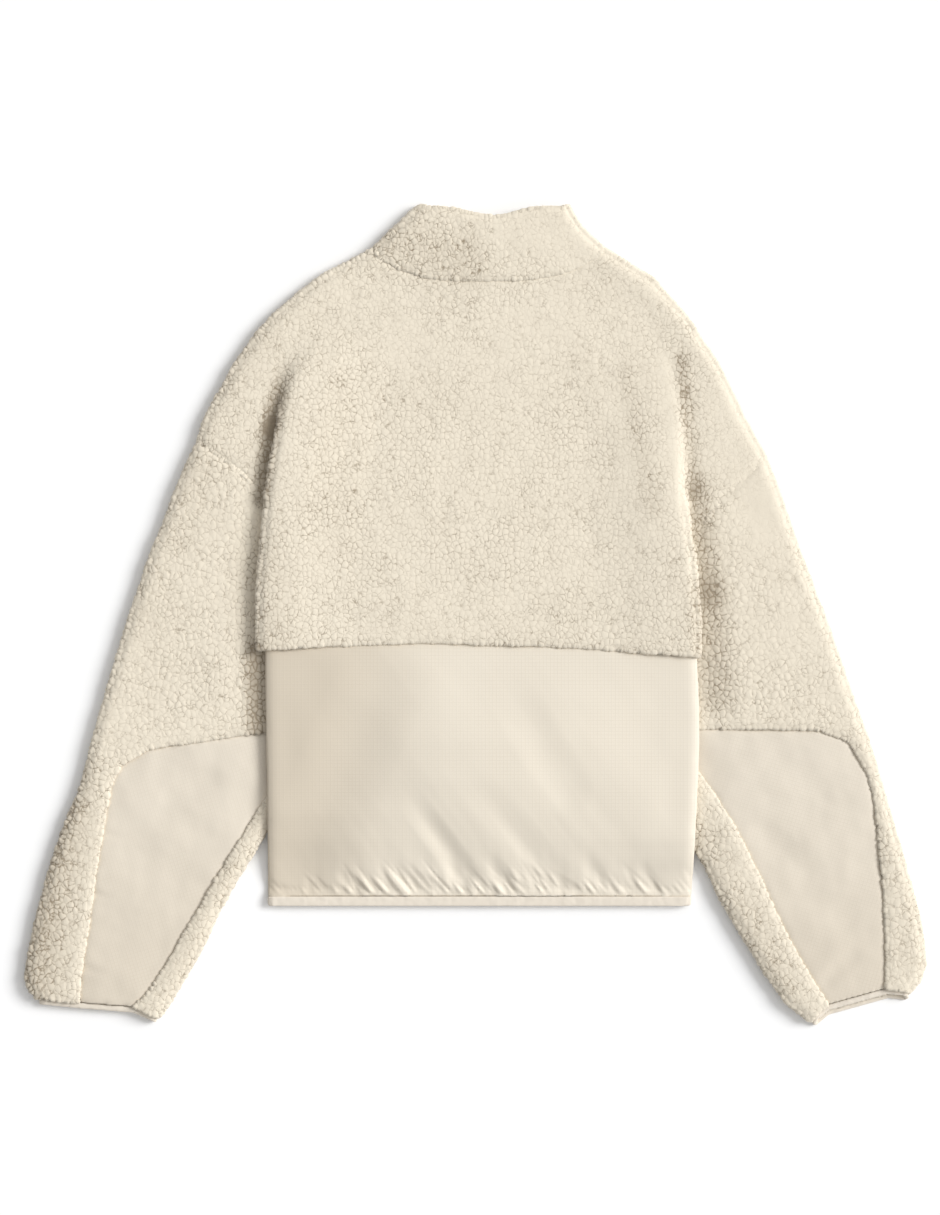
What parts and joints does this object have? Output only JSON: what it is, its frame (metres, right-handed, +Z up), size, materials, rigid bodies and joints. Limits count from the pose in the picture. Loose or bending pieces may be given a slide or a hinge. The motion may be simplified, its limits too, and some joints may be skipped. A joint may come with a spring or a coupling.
{
  "type": "sherpa fleece jacket laid flat",
  "caption": "Cream sherpa fleece jacket with a stand collar, woven lower body and forearm patches, laid flat face down.",
  "frame": {"origin": "on the surface the jacket lies on, under the middle of its outline", "axes": "+Z up from the surface through the jacket's back, +Y along the centre back towards the collar, +X towards the sleeve at the right of the back as seen from above"},
  "size_m": [0.826, 0.752, 0.0271],
  "materials": {
    "fleece": "matte",
    "ripstop": "satin",
    "binding": "matte",
    "zip_tape": "matte",
    "zip_teeth": "matte",
    "zip_metal": "satin"
  },
  "bodies": {
    "jacket": {"back_yoke": "fleece", "front_left_upper": "fleece", "front_right_upper": "fleece", "collar": "fleece", "sleeve_left": "fleece", "sleeve_right": "fleece", "back_lower": "ripstop", "front_left_lower": "ripstop", "front_right_lower": "ripstop", "forearm_patch_left": "ripstop", "forearm_patch_right": "ripstop", "cuff_binding_left": "binding", "cuff_binding_right": "binding", "hem_binding": "binding", "zip_tape_left": "zip_tape", "zip_tape_right": "zip_tape", "zip_chain": "zip_teeth", "zip_slider": "zip_metal"},
    "pull": {"zip_pull": "zip_metal"}
  },
  "joints": [
    {"name": "pull_hinge", "type": "hinge", "parent": "jacket", "child": "pull", "pos_m": [0.0037, 0.35, 0.001], "axis": [1, 0, 0], "range_deg": [0, 175]}
  ]
}
